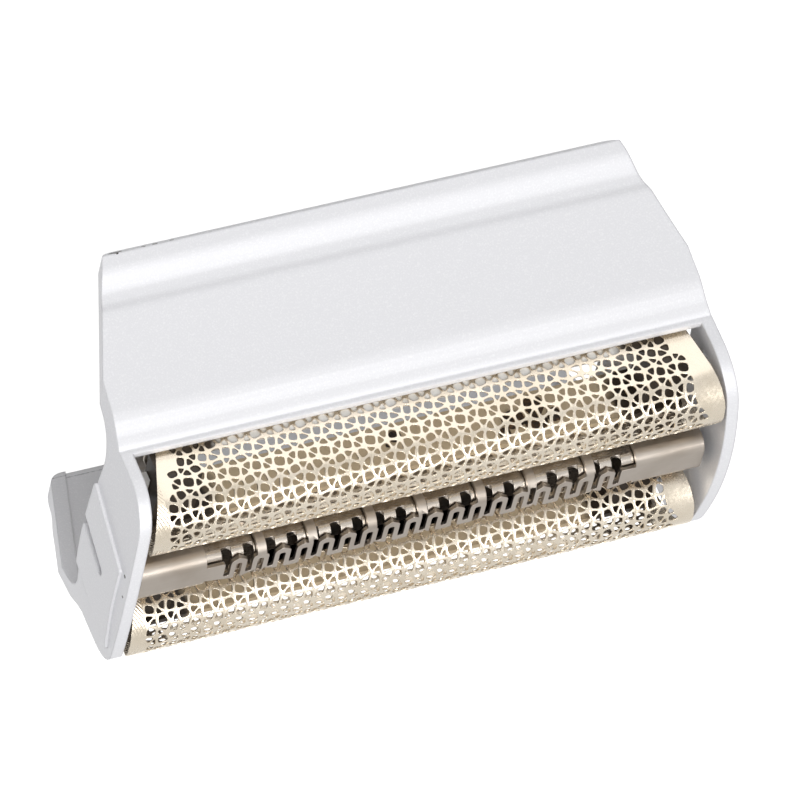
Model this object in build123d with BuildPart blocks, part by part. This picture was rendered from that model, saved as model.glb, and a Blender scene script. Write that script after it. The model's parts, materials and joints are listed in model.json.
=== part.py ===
from build123d import *
import os
from math import atan2, cos, pi, radians, sin, sqrt, tan

# Foil head of a dry shaver: a painted moulded frame with two sprung foils and a slotted trimmer between them.
# Millimetres. X runs along the foils, -Y is the front apron, +Z points out of the foils.
# The frame stands on the lower edges of its two aprons at Z = 0, and the photo's left end is at +X.

# Housing: aprons
base_half_depth = 13.55
edge_half_depth = 9.65
edge_height = 12.7
shell_wall = 1.1
lip_gap = 0.3
lip_rise = 0.15
base_chamfer = 0.5
bead_height = 2.4
bead_proud = 0.3
bead_blend = 1.6
body_hollow = 0.15
roll_height = 1.9

# Housing: ends
base_half_length = 18.0
cheek_half_length = 21.6
cheek_bow = 0.65
cheek_wall = 0.85
cheek_foot = 11.5
cheek_half_depth = 9.2
shoulder_height = 17.2
shoulder_radius = 3.2
rim_height = 18.45
base_corner_radius = 1.1
end_return = 1.45
end_arch_radius = 3.0

# Housing: latch pad and slit on each cheek
pad_proud = 0.25
pad_front = -4.6
pad_rear = 4.4
pad_lean = 20.0
slit_width = 0.9
slit_height = 3.9
slit_offset = -0.6

# Foils
foil_offset = 5.83
foil_radius = 2.6
foil_sheet = 0.12
foil_crown = 18.16
foil_foot = 11.5
foil_end_gap = 0.25
foil_draw_in = 1.2
foil_margin = 0.9
hole_columns = 15
hole_rows = 7
hole_row_pitch = 1.65
hole_web = 0.6

# Foil holders
holder_end_gap = 1.4
holder_rail = 0.4
holder_rail_foot = 11.7
holder_rail_height = 1.5
holder_wall_height = 3.5
holder_block = 2.9
holder_block_foot = 12.6
holder_block_height = 2.2
tongue_reach = 1.1
tongue_half_width = 1.0
tongue_height = 0.7
tongue_rise = 0.3

# Trimmer
comb_half_width = 1.65
comb_top = 17.4
comb_foot = 12.7
comb_sheet = 0.25
comb_end_gap = 0.65
comb_bend = 0.55
comb_solid_end = 5.35
slot_count = 19
slot_width = 0.42
slot_bridge = 0.4
tip_gable = 0.35
tip_bridge = 0.25
window_pitch = 3.86
window_pairs = 4
window_narrow = 2.92
window_wide = 3.53
window_height = 2.3
window_radius = 0.6
blade_gap = 0.15
blade_sheet = 0.22
blade_foot = 14.3
blade_overlap = 0.7
blade_slot_width = 0.7
blade_slot_depth = 0.6
carrier_block = 2.3
carrier_end_gap = 0.65
carrier_foot = 12.9
carrier_block_height = 2.7
carrier_tongue_reach = 0.55
carrier_tongue_half_width = 0.8
carrier_rail = 0.4
carrier_rail_height = 1.0
driver_half_length = 7.5
driver_height = 1.8
driver_play = 0.1
fork_gap = 3.2
fork_prong = 1.6
fork_reach = 2.7
fork_play = 0.15
rivet_radius = 0.4
rivet_offset = 5.5
rivet_play = 0.02

# End bridges, springs and stops
bridge_top = 10.2
bridge_sheet = 1.0
bridge_end_gap = 1.3
bridge_width = 3.8
bridge_play = 0.05
ledge_depth = 0.5
ledge_height = 0.6
peg_height = 1.0
peg_rib = 0.4
peg_play = 0.2
spring_wire = 0.3
spring_turns = 3
spring_steps = 8
spring_sides = 4
foil_spring_radius = 1.0
trimmer_spring_radius = 0.9
spring_cup = 0.6
cup_play = 0.15
stop_gap = 0.1
stop_reach = 0.4
stop_height = 0.7
stop_half_width = 1.1
trimmer_stop_half_width = 0.9

# Values that follow from those above
lean = atan2(base_half_depth - edge_half_depth, edge_height)
slope_length = edge_height / cos(lean)
slope = (sin(lean), cos(lean))
wall_across = shell_wall / cos(lean)
lip_half_depth = foil_offset + foil_radius + lip_gap
lip_height = edge_height + lip_rise
foil_axis = foil_crown - foil_radius
holder_half_width = foil_radius - foil_sheet
comb_inner = comb_half_width - comb_sheet
blade_half_width = comb_inner - blade_gap
blade_top = comb_top - comb_sheet - driver_play
blade_inner = blade_half_width - blade_sheet
comb_top_half_width = comb_half_width - comb_bend
comb_inner_bend = comb_bend - (2 - sqrt(2)) * comb_sheet
blade_bend = comb_bend - blade_gap
carrier_rail_top = carrier_foot + carrier_rail_height
driver_foot = carrier_rail_top + driver_play
rivet_height = driver_foot + driver_height / 2
cheek_inner_length = cheek_half_length - pad_proud - cheek_wall
foil_half_length = cheek_inner_length - cheek_bow * (foil_offset / edge_half_depth) ** 2 - foil_end_gap
foil_foot_half_length = foil_half_length - foil_draw_in
hole_pitch = 2 * (foil_foot_half_length - foil_margin) / (hole_columns + 0.5)
holder_half_length = foil_half_length - holder_end_gap
foil_spring_place = holder_half_length - holder_block / 2
comb_half_length = cheek_inner_length - comb_end_gap
slot_zone_half_length = comb_half_length - comb_solid_end
finger_pitch = 2 * slot_zone_half_length / slot_count
blade_half_length = slot_zone_half_length + blade_overlap
carrier_end = comb_half_length - carrier_end_gap
carrier_inner = carrier_end - carrier_block
trimmer_spring_place = carrier_end - carrier_block / 2
bridge_outer = cheek_inner_length - bridge_end_gap
bridge_inner = bridge_outer - bridge_width
overrun = 1.0
tall = 2 * rim_height


def on_slope(along, proud):
    """Point of the front apron in the end view: along its slope from the base, proud of its flat."""
    return (
        -base_half_depth + along * sin(lean) - proud * cos(lean),
        along * cos(lean) + proud * sin(lean),
    )


def inner_face(height):
    """Half depth between the inner faces of the aprons at a height."""
    return base_half_depth - wall_across - height * tan(lean)


def bow_plan(half_length):
    """Plan outline with bowed ends, as long as half_length at its middle."""
    reach = base_half_depth + overrun
    drop = cheek_bow * (reach / edge_half_depth) ** 2
    with BuildSketch() as plan:
        with BuildLine():
            right = ThreePointArc(
                (half_length - drop, -reach), (half_length, 0), (half_length - drop, reach)
            )
            left = ThreePointArc(
                (drop - half_length, reach), (-half_length, 0), (drop - half_length, -reach)
            )
            Line(right @ 1, left @ 0)
            Line(left @ 1, right @ 0)
        make_face()
    return plan.sketch


def end_taper(inset):
    """Front view outline of the tapering ends, inset from the outer one."""
    foot = base_half_length - inset
    head = cheek_half_length - inset
    with BuildSketch() as view:
        with BuildLine():
            Polyline(
                (-foot, 0), (foot, 0), (head, cheek_foot), (head, tall),
                (-head, tall), (-head, cheek_foot), close=True,
            )
        make_face()
    return view.sketch


def leaning_line(at, height):
    """Y of a line on the cheek that leans with pad_lean and passes through at, cheek_foot."""
    return at + (height - cheek_foot) * tan(radians(pad_lean))


# Hollow of the frame: between the aprons, and all that stands above their lips
with BuildPart() as hollow:
    with BuildSketch(Plane.YZ):
        with BuildLine():
            Polyline(
                (-inner_face(-overrun), -overrun),
                (inner_face(-overrun), -overrun),
                (lip_half_depth, (inner_face(0) - lip_half_depth) / tan(lean)),
                (lip_half_depth, lip_height),
                (-lip_half_depth, lip_height),
                (-lip_half_depth, (inner_face(0) - lip_half_depth) / tan(lean)),
                close=True,
            )
        make_face()
    extrude(amount=cheek_half_length, both=True)
    with BuildSketch(Plane.XY.offset(lip_height)):
        Rectangle(2 * cheek_half_length, 2 * base_half_depth)
    extrude(amount=tall)
    with BuildSketch(Plane.XZ):
        add(end_taper(shell_wall))
        Rectangle(2 * (base_half_length - shell_wall), 2 * overrun)
    extrude(amount=2 * base_half_depth, both=True, mode=Mode.INTERSECT)
    with BuildSketch(Plane.XY.offset(-overrun)):
        add(bow_plan(cheek_inner_length))
    extrude(amount=2 * tall, mode=Mode.INTERSECT)

# Latch pads that stand proud of both cheeks
with BuildPart() as latch_pads:
    with BuildSketch(Plane.YZ):
        with BuildLine():
            Polyline(
                (leaning_line(pad_front, cheek_foot), cheek_foot),
                (leaning_line(pad_rear, cheek_foot), cheek_foot),
                (leaning_line(pad_rear, shoulder_height), shoulder_height),
                (leaning_line(pad_front, shoulder_height), shoulder_height),
                close=True,
            )
        make_face()
    extrude(amount=cheek_half_length, both=True)
    with BuildSketch(Plane.XY):
        add(bow_plan(cheek_half_length))
    extrude(amount=tall, mode=Mode.INTERSECT)

# Housing frame: aprons run the whole length, cheeks close the ends above the open feet
with BuildPart() as housing:
    with BuildSketch(Plane.YZ):
        with BuildLine():
            edge = Polyline(
                (0, 0),
                (base_chamfer - base_half_depth, 0),
                on_slope(base_chamfer, bead_proud),
                on_slope(bead_height, bead_proud),
            )
            blend = TangentArc(
                edge @ 1, on_slope(bead_height + bead_blend / 2, bead_proud / 2), tangent=slope
            )
            groove = TangentArc(blend @ 1, on_slope(bead_height + bead_blend, 0), tangent=blend % 1)
            body = ThreePointArc(
                groove @ 1,
                on_slope((bead_height + bead_blend + slope_length - roll_height) / 2, -body_hollow),
                on_slope(slope_length - roll_height, 0),
            )
            roll = TangentArc(body @ 1, (-lip_half_depth, lip_height), tangent=slope)
            Line(roll @ 1, (0, lip_height))
            mirror(about=Plane.YZ)
        make_face()
    extrude(amount=cheek_half_length, both=True)
    with BuildSketch(Plane.YZ) as cheek_view:
        with BuildLine():
            crown = ThreePointArc(
                (-cheek_half_depth, shoulder_height), (0, rim_height), (cheek_half_depth, shoulder_height)
            )
            Polyline(
                crown @ 1,
                (cheek_half_depth, cheek_foot),
                (-cheek_half_depth, cheek_foot),
                crown @ 0,
            )
        make_face()
        fillet(cheek_view.vertices().group_by(Axis.Y)[-1], radius=shoulder_radius)
    extrude(amount=cheek_half_length, both=True)
    with BuildSketch(Plane.XZ) as front_view:
        add(end_taper(0))
        fillet(front_view.vertices().group_by(Axis.Y)[0], radius=base_corner_radius)
    extrude(amount=2 * base_half_depth, both=True, mode=Mode.INTERSECT)
    with BuildSketch(Plane.XY):
        add(bow_plan(cheek_half_length - pad_proud))
    extrude(amount=tall, mode=Mode.INTERSECT)
    add(latch_pads.part)
    add(hollow.part, mode=Mode.SUBTRACT)
    # open ends below the cheeks, between the returns of the aprons
    with BuildSketch(Plane.YZ) as end_arch:
        foot_reach = base_half_depth - end_return
        with BuildLine():
            Polyline(
                (-foot_reach - overrun * tan(lean), -overrun),
                (foot_reach + overrun * tan(lean), -overrun),
                (foot_reach - cheek_foot * tan(lean), cheek_foot),
                (cheek_foot * tan(lean) - foot_reach, cheek_foot),
                close=True,
            )
        make_face()
        fillet(end_arch.vertices().group_by(Axis.Y)[-1], radius=end_arch_radius)
    extrude(amount=cheek_half_length, both=True, mode=Mode.SUBTRACT)
    # latch slits, open at the feet of the cheeks
    for end in (1, -1):
        inside = end * (cheek_inner_length - cheek_bow)
        with BuildSketch(Plane.YZ.offset(inside)):
            with Locations((leaning_line(slit_offset, cheek_foot), cheek_foot)):
                SlotOverall(2 * slit_height, slit_width, rotation=90 - pad_lean)
        extrude(amount=end * 2 * overrun + end * cheek_bow, mode=Mode.SUBTRACT)
    # stops inside each cheek, above the tongues of the foil holders and of the trimmer carrier
    for end in (1, -1):
        wall = cheek_inner_length + cheek_wall / 2
        foil_stop = (holder_block_foot, holder_half_length + tongue_reach, stop_half_width)
        trimmer_stop = (carrier_foot, carrier_end + carrier_tongue_reach, trimmer_stop_half_width)
        for across, (foot, tongue_end, half_width) in (
            (-foil_offset, foil_stop), (0, trimmer_stop), (foil_offset, foil_stop),
        ):
            bowed = wall - cheek_bow * (across / edge_half_depth) ** 2
            start = tongue_end - stop_reach
            with BuildSketch(Plane.XY.offset(foot + tongue_rise + tongue_height + stop_gap)):
                with Locations((end * (start + bowed) / 2, across)):
                    Rectangle(bowed - start, 2 * half_width)
            extrude(amount=stop_height)
    # ledges on the inner faces of the aprons, above and below the end bridges
    for end in (1, -1):
        for side in (1, -1):
            for foot in (bridge_top, bridge_top - bridge_sheet - ledge_height):
                head = foot + ledge_height
                with BuildSketch(Plane.YZ.offset(end * bridge_inner)):
                    with BuildLine():
                        Polyline(
                            (side * (inner_face(head) - ledge_depth), foot),
                            (side * (inner_face(foot) + shell_wall / 2), foot),
                            (side * (inner_face(head) + shell_wall / 2), head),
                            (side * (inner_face(head) - ledge_depth), head),
                            close=True,
                        )
                    make_face()
                extrude(amount=end * 2 * overrun)
housing.part.label = "housing_frame"

os.makedirs("parts", exist_ok=True)
export_step(housing.part, "parts/housing_frame.step")


def row_plane(across, along_arc):
    """Plane tangent to a foil, along_arc from its crown line along the section."""
    quarter = foil_radius * pi / 2
    turn = max(-pi / 2, min(pi / 2, along_arc / foil_radius))
    down = max(0.0, abs(along_arc) - quarter)
    return Plane(
        origin=(0, across + foil_radius * sin(turn), foil_axis + foil_radius * cos(turn) - down),
        x_dir=(1, 0, 0),
        z_dir=(0, sin(turn), cos(turn)),
    )


def arch_face(radius, foot):
    """Section of an arch of the foil's shape, closed at its foot."""
    with BuildSketch() as arch:
        with BuildLine():
            rise = Line((-radius, foot), (-radius, foil_axis))
            over = ThreePointArc(rise @ 1, (0, foil_axis + radius), (radius, foil_axis))
            fall = Line(over @ 1, (radius, foot))
            Line(fall @ 1, rise @ 0)
        make_face()
    return arch.sketch


for side, across in (("front", -foil_offset), ("rear", foil_offset)):
    # Foil: thin arched sheet with staggered rows of holes and ends drawn in towards its foot
    with BuildPart() as foil:
        with BuildSketch(Plane((0, across, 0), x_dir=(0, 1, 0), z_dir=(1, 0, 0))):
            add(arch_face(foil_radius, foil_foot))
        extrude(amount=foil_half_length, both=True)
        with BuildSketch(Plane((0, across, 0), x_dir=(0, 1, 0), z_dir=(1, 0, 0))):
            add(arch_face(holder_half_width, foil_foot - overrun))
        extrude(amount=foil_half_length, both=True, mode=Mode.SUBTRACT)
        with BuildSketch(Plane.XZ):
            with BuildLine():
                Polyline(
                    (-foil_foot_half_length, foil_foot), (foil_foot_half_length, foil_foot),
                    (foil_half_length, foil_crown), (-foil_half_length, foil_crown), close=True,
                )
            make_face()
        extrude(amount=2 * base_half_depth, both=True, mode=Mode.INTERSECT)
        for row in range(hole_rows):
            stagger = hole_pitch / 4 if row % 2 else -hole_pitch / 4
            along_arc = (row - (hole_rows - 1) / 2) * hole_row_pitch
            with BuildSketch(row_plane(across, along_arc)):
                with Locations((stagger, 0)):
                    with GridLocations(hole_pitch, hole_row_pitch, hole_columns, 1):
                        Rectangle(hole_pitch - hole_web, hole_row_pitch - hole_web)
            extrude(amount=foil_radius / 2, both=True, mode=Mode.SUBTRACT)
    foil.part.label = f"{side}_foil"
    export_step(foil.part, f"parts/{side}_foil.step")

    # Holder: a low rail and a taller wall inside the flanks of the foil, joined by a block at each end
    with BuildPart() as holder:
        with BuildSketch(Plane.XY.offset(holder_rail_foot)):
            with Locations((0, across)):
                Rectangle(2 * holder_half_length, 2 * holder_half_width)
                Rectangle(
                    2 * holder_half_length + overrun, 2 * (holder_half_width - holder_rail),
                    mode=Mode.SUBTRACT,
                )
        extrude(amount=holder_rail_height)
        with BuildSketch(Plane.XY.offset(holder_rail_foot)):
            with Locations((0, across + holder_half_width - holder_rail / 2)):
                Rectangle(2 * holder_half_length, holder_rail)
        extrude(amount=holder_wall_height)
        for end in (1, -1):
            with BuildSketch(Plane.XY.offset(holder_block_foot)):
                with Locations((end * foil_spring_place, across)):
                    Rectangle(holder_block, 2 * holder_half_width)
            extrude(amount=holder_block_height)
            with BuildSketch(Plane.XY.offset(holder_block_foot + tongue_rise)):
                with Locations((end * (holder_half_length + tongue_reach / 2 - overrun / 2), across)):
                    Rectangle(tongue_reach + overrun, 2 * tongue_half_width)
            extrude(amount=tongue_height)
            with BuildSketch(Plane.XY.offset(holder_block_foot)):
                with Locations((end * foil_spring_place, across)):
                    Rectangle(2 * (foil_spring_radius + cup_play), 2 * (foil_spring_radius + cup_play))
            extrude(amount=spring_cup, mode=Mode.SUBTRACT)
    holder.part.label = f"{side}_foil_holder"
    export_step(holder.part, f"parts/{side}_foil_holder.step")

# Window cuts of the comb: in plan they leave gabled finger tips, and in front view they have rounded feet
with BuildPart() as window_cuts:
    with BuildSketch(Plane.XY.offset(comb_top - window_height)):
        for cut_side, cut_start in ((-1, comb_top_half_width - tip_gable), (1, comb_top_half_width)):
            with Locations((0, cut_side * (cut_start + comb_half_width) / 2)):
                Rectangle(2 * comb_half_length, comb_half_width - cut_start)
        with Locations((0, tip_gable - comb_top_half_width)):
            with GridLocations(finger_pitch, overrun, slot_count - 1, 1):
                Polygon(
                    (slot_width / 2 - finger_pitch / 2, 0), (0, -tip_gable),
                    (finger_pitch / 2 - slot_width / 2, 0), align=None, mode=Mode.SUBTRACT,
                )
    extrude(amount=window_height)
    with BuildSketch(Plane.XZ) as windows:
        for shift, window_width in ((-window_pitch / 2, window_narrow), (window_pitch / 2, window_wide)):
            with Locations((shift, comb_top - window_height / 2)):
                with GridLocations(2 * window_pitch, overrun, window_pairs, 1):
                    Rectangle(window_width, window_height)
        fillet(windows.vertices().group_by(Axis.Y)[0], radius=window_radius)
    extrude(amount=2 * comb_half_width, both=True, mode=Mode.INTERSECT)

# Trimmer comb: bent steel channel, meandering slots in its top and windows over its bends
with BuildPart() as comb:
    with BuildSketch(Plane.YZ) as channel:
        with Locations((0, comb_foot)):
            Rectangle(2 * comb_half_width, comb_top - comb_foot, align=(Align.CENTER, Align.MIN))
        chamfer(channel.vertices().group_by(Axis.Y)[-1], length=comb_bend)
    extrude(amount=comb_half_length, both=True)
    with BuildSketch(Plane.YZ) as inside_channel:
        with Locations((0, comb_foot - overrun)):
            Rectangle(
                2 * comb_inner, comb_top - comb_sheet - comb_foot + overrun, align=(Align.CENTER, Align.MIN)
            )
        chamfer(inside_channel.vertices().group_by(Axis.Y)[-1], length=comb_inner_bend)
    extrude(amount=comb_half_length, both=True, mode=Mode.SUBTRACT)
    # slots that open to the front windows, and between them slots that open to the rear ones
    front_slot = 2 * comb_top_half_width - slot_bridge
    rear_slot = 2 * comb_top_half_width - tip_gable - tip_bridge
    with BuildSketch(Plane.XY.offset(comb_top)):
        with Locations((0, front_slot / 2 - comb_top_half_width)):
            with GridLocations(finger_pitch, overrun, slot_count, 1):
                Rectangle(slot_width, front_slot)
        with Locations((0, comb_top_half_width - rear_slot / 2)):
            with GridLocations(finger_pitch, overrun, slot_count - 1, 1):
                Rectangle(slot_width, rear_slot)
    extrude(amount=-2 * comb_sheet, mode=Mode.SUBTRACT)
    add(window_cuts.part, mode=Mode.SUBTRACT)
comb.part.label = "trimmer_comb"
export_step(comb.part, "parts/trimmer_comb.step")

# Trimmer blade: slimmer channel inside the comb, slotted across its top and bends
with BuildPart() as blade:
    with BuildSketch(Plane.YZ) as blade_channel:
        with Locations((0, blade_foot)):
            Rectangle(2 * blade_half_width, blade_top - blade_foot, align=(Align.CENTER, Align.MIN))
        chamfer(blade_channel.vertices().group_by(Axis.Y)[-1], length=blade_bend)
        with Locations((0, blade_foot)):
            Rectangle(
                2 * blade_inner, blade_top - blade_sheet - blade_foot,
                align=(Align.CENTER, Align.MIN), mode=Mode.SUBTRACT,
            )
    extrude(amount=blade_half_length, both=True)
    with BuildSketch(Plane.XY.offset(blade_top)):
        with GridLocations(finger_pitch, overrun, slot_count, 1):
            Rectangle(blade_slot_width, 2 * comb_half_width)
    extrude(amount=-blade_slot_depth, mode=Mode.SUBTRACT)
    with BuildSketch(Plane.XZ):
        with Locations((-rivet_offset, rivet_height), (rivet_offset, rivet_height)):
            Circle(rivet_radius + rivet_play)
    extrude(amount=2 * comb_half_width, both=True, mode=Mode.SUBTRACT)
blade.part.label = "trimmer_blade"
export_step(blade.part, "parts/trimmer_blade.step")

# Blade driver: plastic slider inside the blade, with a fork for the drive pin
with BuildPart() as driver:
    with BuildSketch(Plane.XY.offset(driver_foot)):
        Rectangle(2 * driver_half_length, 2 * blade_inner)
    extrude(amount=driver_height)
    with BuildSketch(Plane.XY.offset(driver_foot)):
        with GridLocations(fork_gap + fork_prong, overrun, 2, 1):
            Rectangle(fork_prong, 2 * (comb_inner - carrier_rail - fork_play))
    extrude(amount=-fork_reach)
    with BuildSketch(Plane.XZ):
        with Locations((-rivet_offset, rivet_height), (rivet_offset, rivet_height)):
            Circle(rivet_radius + rivet_play)
    extrude(amount=2 * comb_half_width, both=True, mode=Mode.SUBTRACT)
driver.part.label = "blade_driver"
export_step(driver.part, "parts/blade_driver.step")

# Rivets through the flanks of the blade and the driver
with BuildPart() as rivets:
    with BuildSketch(Plane.XZ):
        with Locations((-rivet_offset, rivet_height), (rivet_offset, rivet_height)):
            Circle(rivet_radius)
    extrude(amount=blade_half_width, both=True)
rivets.part.label = "driver_rivets"
export_step(rivets.part, "parts/driver_rivets.step")

# Trimmer carrier: end blocks inside the comb, joined by two low rails
with BuildPart() as carrier:
    with BuildSketch(Plane.XY.offset(carrier_foot)):
        Rectangle(2 * carrier_end, 2 * comb_inner)
        Rectangle(2 * carrier_inner, 2 * (comb_inner - carrier_rail), mode=Mode.SUBTRACT)
    extrude(amount=carrier_rail_height)
    for end in (1, -1):
        with BuildSketch(Plane.XY.offset(carrier_foot)):
            with Locations((end * trimmer_spring_place, 0)):
                Rectangle(carrier_block, 2 * comb_inner)
        extrude(amount=carrier_block_height)
        with BuildSketch(Plane.XY.offset(carrier_foot + tongue_rise)):
            with Locations((end * (carrier_end + carrier_tongue_reach / 2 - overrun / 2), 0)):
                Rectangle(carrier_tongue_reach + overrun, 2 * carrier_tongue_half_width)
        extrude(amount=tongue_height)
        with BuildSketch(Plane.XY.offset(carrier_foot)):
            with Locations((end * trimmer_spring_place, 0)):
                Rectangle(2 * (trimmer_spring_radius + cup_play), 2 * (trimmer_spring_radius + cup_play))
        extrude(amount=spring_cup, mode=Mode.SUBTRACT)
carrier.part.label = "trimmer_carrier"
export_step(carrier.part, "parts/trimmer_carrier.step")

# End bridges: shelves between the aprons that carry the springs on cross-shaped pegs
for name, end in (("left", 1), ("right", -1)):
    with BuildPart() as bridge:
        with BuildSketch(Plane.YZ.offset(end * bridge_inner)):
            head = inner_face(bridge_top) - bridge_play
            foot = inner_face(bridge_top - bridge_sheet) - bridge_play
            with BuildLine():
                Polyline(
                    (-foot, bridge_top - bridge_sheet), (foot, bridge_top - bridge_sheet),
                    (head, bridge_top), (-head, bridge_top), close=True,
                )
            make_face()
        extrude(amount=end * (bridge_outer - bridge_inner))
        with BuildSketch(Plane.XY.offset(bridge_top)):
            for place, across, radius in (
                (foil_spring_place, -foil_offset, foil_spring_radius),
                (foil_spring_place, foil_offset, foil_spring_radius),
                (trimmer_spring_place, 0, trimmer_spring_radius),
            ):
                reach = 2 * (radius - spring_wire - peg_play)
                with Locations((end * place, across)):
                    Rectangle(reach, peg_rib)
                    Rectangle(peg_rib, reach)
        extrude(amount=peg_height)
    bridge.part.label = f"{name}_end_bridge"
    export_step(bridge.part, f"parts/{name}_end_bridge.step")

# Coil springs between the end bridges and the cups of what they carry
for name, end in (("left", 1), ("right", -1)):
    for owner, place, across, radius, head in (
        ("front", foil_spring_place, -foil_offset, foil_spring_radius, holder_block_foot),
        ("rear", foil_spring_place, foil_offset, foil_spring_radius, holder_block_foot),
        ("trimmer", trimmer_spring_place, 0, trimmer_spring_radius, carrier_foot),
    ):
        height = head + spring_cup - bridge_top - 2 * spring_wire
        steps = spring_turns * spring_steps
        reach = radius - spring_wire / 2
        with BuildPart() as spring:
            with BuildLine():
                coil = Polyline([
                    (
                        end * place + reach * cos(2 * pi * step / spring_steps),
                        across + reach * sin(2 * pi * step / spring_steps),
                        bridge_top + spring_wire + height * step / steps,
                    )
                    for step in range(steps + 1)
                ])
            with BuildSketch(Plane(origin=coil @ 0, z_dir=coil % 0)):
                RegularPolygon(spring_wire / 2, spring_sides)
            sweep(transition=Transition.RIGHT)
        spring.part.label = f"{owner}_spring_{name}"
        export_step(spring.part, f"parts/{owner}_spring_{name}.step")
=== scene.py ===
"""Looks of a shaver foil head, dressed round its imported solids.

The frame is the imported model: metres, X along the foils, -Y towards the front apron, +Z out of the
foils. Each sub-assembly is a class with its sizes and its finish. Some pieces are modelled here, since
their solids are plainer: the foils are nets of fine webs, which the solids only have as a coarse set
of holes, the housing's aprons get their soft relief, the trimmer's comb and blade get rounded bends,
and the springs are round wire. The other pieces keep their solids and get their finish.
"""

from __future__ import annotations

import json
import logging
import math
import random
from dataclasses import dataclass, replace
from enum import Enum
from typing import Any, Callable

import bmesh
import bpy
from mathutils import Matrix, Vector

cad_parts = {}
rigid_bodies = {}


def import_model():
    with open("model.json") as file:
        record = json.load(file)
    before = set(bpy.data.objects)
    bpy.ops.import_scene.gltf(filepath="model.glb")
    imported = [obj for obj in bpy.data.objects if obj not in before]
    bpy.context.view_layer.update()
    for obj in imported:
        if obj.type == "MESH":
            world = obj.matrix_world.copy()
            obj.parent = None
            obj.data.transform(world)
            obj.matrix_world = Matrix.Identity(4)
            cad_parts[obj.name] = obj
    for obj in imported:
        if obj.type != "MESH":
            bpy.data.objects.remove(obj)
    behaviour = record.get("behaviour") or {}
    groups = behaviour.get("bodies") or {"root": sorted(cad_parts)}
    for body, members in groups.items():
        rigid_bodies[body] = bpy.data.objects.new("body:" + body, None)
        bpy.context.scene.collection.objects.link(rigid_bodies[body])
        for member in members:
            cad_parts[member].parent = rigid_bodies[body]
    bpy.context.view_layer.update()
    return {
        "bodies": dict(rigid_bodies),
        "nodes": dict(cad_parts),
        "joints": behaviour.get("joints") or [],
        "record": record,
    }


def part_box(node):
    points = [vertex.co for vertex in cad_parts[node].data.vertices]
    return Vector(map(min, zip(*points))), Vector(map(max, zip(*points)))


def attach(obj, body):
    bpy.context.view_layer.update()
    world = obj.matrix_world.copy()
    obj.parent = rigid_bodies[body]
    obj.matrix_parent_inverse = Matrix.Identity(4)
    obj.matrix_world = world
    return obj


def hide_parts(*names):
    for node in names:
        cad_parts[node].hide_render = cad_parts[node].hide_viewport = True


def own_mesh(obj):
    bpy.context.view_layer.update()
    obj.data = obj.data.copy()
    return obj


MM = 0.001
# Points nearer than this to one another, or to a cutting plane, count as touching.
TOUCH = 0.001 * MM
# An edge runs along an axis if its direction has at least this much of it.
PARALLEL = 0.999
# Nearly all values of a noise texture lie between these two.
NOISE_LOW = 0.3
NOISE_HIGH = 0.7
# Thickness of the foil holders' walls, in millimetres.
HOLDER_WALL = 0.4
LOG = logging.getLogger("foil_head")

Socket = bpy.types.NodeSocket
Tree = bpy.types.NodeTree


class Side(Enum):
    """The two foils, named by the apron that each one runs along."""

    FRONT = "front"
    REAR = "rear"


class End(Enum):
    """The two ends of the head, with the sign of their X."""

    LEFT = 1
    RIGHT = -1


class Part(Enum):
    """What can be selected in a mesh, with the name of its list there."""

    VERT = "verts"
    EDGE = "edges"
    FACE = "faces"


def linear(colour: str) -> tuple[float, float, float, float]:
    """Turns an sRGB hex colour into linear light.

    Args:
        colour: Six hex digits after a hash sign.

    Returns:
        Red, green, blue and alpha for a socket.
    """
    parts = [int(colour[at:at + 2], 16) / 255 for at in (1, 3, 5)]
    red, green, blue = (
        part / 12.92 if part <= 0.04045 else ((part + 0.055) / 1.055) ** 2.4 for part in parts
    )
    return (red, green, blue, 1.0)


def per_metre(size_mm: float) -> float:
    """Texture scale that gives a pattern of size_mm on Object coordinates."""
    return 1 / (size_mm * MM)


def add_node(
    tree: Tree, kind: str, inputs: dict[Any, Any] | None = None, **settings: Any
) -> bpy.types.Node:
    """Adds a node with its settings, values and links.

    Args:
        tree: The tree that gets the node.
        kind: Blender's name of the node type, without the ShaderNode at its start.
        inputs: Values or output sockets, by input name or number.
        **settings: Attributes of the node.

    Returns:
        The new node.
    """
    node = tree.nodes.new("ShaderNode" + kind)
    for name, value in settings.items():
        setattr(node, name, value)
    for socket, value in (inputs or {}).items():
        if isinstance(value, Socket):
            tree.links.new(value, node.inputs[socket])
        else:
            node.inputs[socket].default_value = value
    return node


def new_material(name: str) -> tuple[bpy.types.Material, Tree]:
    """Makes a material with an empty node tree.

    Args:
        name: The material's name.

    Returns:
        The material and its tree.
    """
    material = bpy.data.materials.new(name)
    material.use_nodes = True
    material.node_tree.nodes.clear()
    return material, material.node_tree


def dress(node: bpy.types.Object, material: bpy.types.Material) -> None:
    """Gives an object one material in place of all that it had."""
    node.data.materials.clear()
    node.data.materials.append(material)


def deselect_all() -> None:
    """Leaves edit mode and deselects every object."""
    if bpy.context.mode != "OBJECT":
        bpy.ops.object.mode_set(mode="OBJECT")
    bpy.ops.object.select_all(action="DESELECT")


def activate(piece: bpy.types.Object) -> None:
    """Makes one object the only selected and active one."""
    deselect_all()
    piece.select_set(True)
    bpy.context.view_layer.objects.active = piece


def apply_modifier(piece: bpy.types.Object, kind: str, **settings: Any) -> None:
    """Adds a modifier with its settings and applies it.

    Args:
        piece: The object that is changed.
        kind: Blender's name of the modifier type.
        **settings: Attributes of the modifier.
    """
    activate(piece)
    bpy.ops.object.modifier_add(type=kind)
    modifier = piece.modifiers[-1]
    for name, value in settings.items():
        setattr(modifier, name, value)
    bpy.ops.object.modifier_apply(modifier=modifier.name)


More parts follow.
